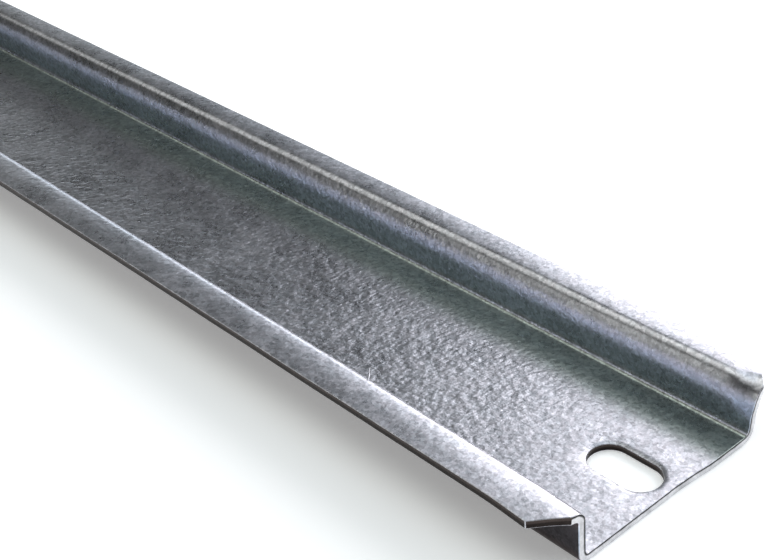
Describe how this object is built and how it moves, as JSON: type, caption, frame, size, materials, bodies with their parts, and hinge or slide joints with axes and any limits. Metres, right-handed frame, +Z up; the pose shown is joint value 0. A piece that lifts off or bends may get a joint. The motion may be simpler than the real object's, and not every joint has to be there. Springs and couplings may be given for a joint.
{
  "type": "din rail",
  "caption": "Zinc-coated steel top-hat mounting rail with a shallow channel, outward flanges for clip-on devices, a fixing slot near each end and flange corners cut back.",
  "frame": {"origin": "on the underside of the channel's web, at the middle of the rail's length and of its full width", "axes": "+X along the rail, +Y across it towards the narrower flange, +Z up out of the channel, towards the clip-on devices"},
  "size_m": [0.3, 0.035, 0.0075],
  "materials": {
    "zinc_coated_steel": "galvanised, satin with fine spangle"
  },
  "bodies": {
    "root": {"rail": "zinc_coated_steel"}
  },
  "joints": []
}
